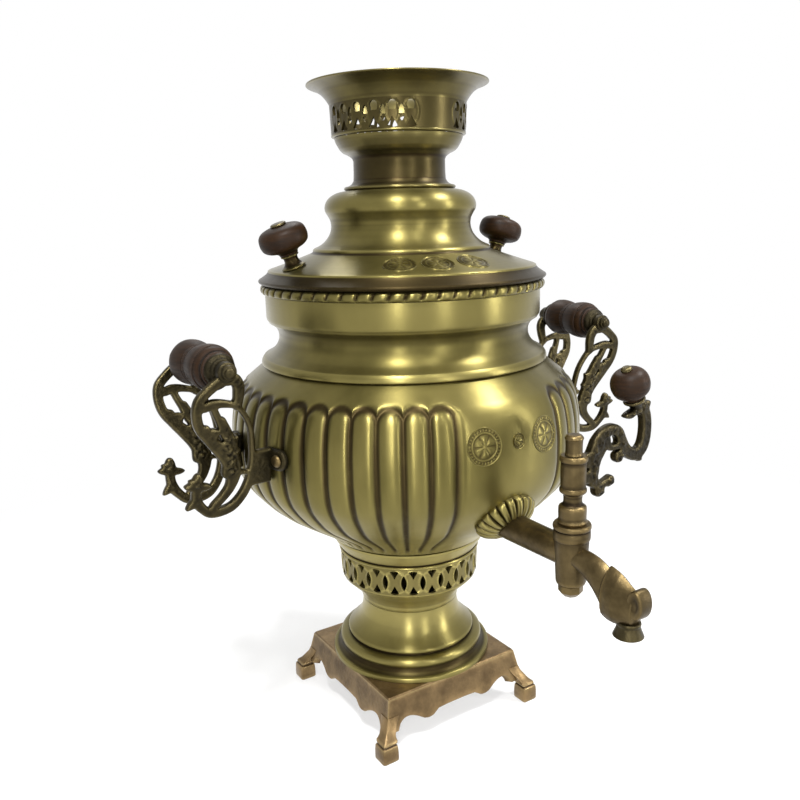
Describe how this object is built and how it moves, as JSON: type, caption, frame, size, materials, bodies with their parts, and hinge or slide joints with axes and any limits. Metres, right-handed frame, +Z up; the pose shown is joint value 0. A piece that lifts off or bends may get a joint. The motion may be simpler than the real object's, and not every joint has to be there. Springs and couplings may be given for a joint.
{
  "type": "samovar",
  "caption": "Charcoal-fired samovar: gadrooned brass urn on a four-legged stand, with a key tap, two openwork handles with wooden grips, lift-off lid and pierced crown.",
  "frame": {"origin": "middle of the whole object's bounding box, at the level of the feet", "axes": "+Z up along the urn's axis; the tap points along -Y; +X is to the right seen from the tap's side, and the tap's lever points that way when closed"},
  "size_m": [0.3786, 0.3646, 0.4694],
  "materials": {
    "spun_brass": "spun sheet brass, satin, with an old olive-gold patina that is darker in the grooves",
    "cast_bronze": "cast brass, brown patina with rubbed edges",
    "dark_bronze": "cast brass, dark greenish brown patina",
    "iron": "rough cast iron, sooty",
    "turned_wood": "turned hardwood, very dark reddish brown stain, soft sheen"
  },
  "bodies": {
    "stand": {"base_stand": "cast_bronze", "pedestal": "spun_brass", "vent_gallery": "spun_brass", "bulb": "spun_brass", "body_collar": "spun_brass", "rope_rim": "spun_brass", "fire_tube": "spun_brass", "grate": "iron", "tap_rosette": "spun_brass", "tap_body": "cast_bronze", "spout_nozzle": "dark_bronze", "right_bracket_front": "dark_bronze", "right_cup_front": "dark_bronze", "right_handle_screw_front": "spun_brass", "right_handle_nut_front": "spun_brass", "right_bracket_back": "dark_bronze", "right_cup_back": "dark_bronze", "right_handle_screw_back": "spun_brass", "right_handle_nut_back": "spun_brass", "right_grip": "turned_wood", "right_grip_bolt": "cast_bronze", "right_grip_nut": "cast_bronze", "left_bracket_front": "dark_bronze", "left_cup_front": "dark_bronze", "left_handle_screw_front": "spun_brass", "left_handle_nut_front": "spun_brass", "left_bracket_back": "dark_bronze", "left_cup_back": "dark_bronze", "left_handle_screw_back": "spun_brass", "left_handle_nut_back": "spun_brass", "left_grip": "turned_wood", "left_grip_bolt": "cast_bronze", "left_grip_nut": "cast_bronze"},
    "key": {"tap_key": "cast_bronze", "key_lever": "dark_bronze", "key_cap": "cast_bronze", "key_nut": "cast_bronze", "key_knob": "turned_wood", "knob_pin": "spun_brass"},
    "lid": {"lid_shell": "spun_brass", "lid_knob_right": "turned_wood", "lid_ferrule_right": "spun_brass", "lid_screw_right": "spun_brass", "lid_nut_right": "spun_brass", "lid_knob_left": "turned_wood", "lid_ferrule_left": "spun_brass", "lid_screw_left": "spun_brass", "lid_nut_left": "spun_brass"},
    "crown": {"crown_socket": "spun_brass", "crown_gallery": "spun_brass"}
  },
  "joints": [
    {"name": "tap_turn", "type": "hinge", "parent": "stand", "child": "key", "pos_m": [0, -0.12521, 0.2], "axis": [0, 0, -1], "range_deg": [0, 90]},
    {"name": "lid_lift", "type": "slide", "parent": "stand", "child": "lid", "axis": [0, 0, 1], "range_m": [0, 0.1]},
    {"name": "crown_lift", "type": "slide", "parent": "lid", "child": "crown", "axis": [0, 0, 1], "range_m": [0, 0.05]}
  ]
}
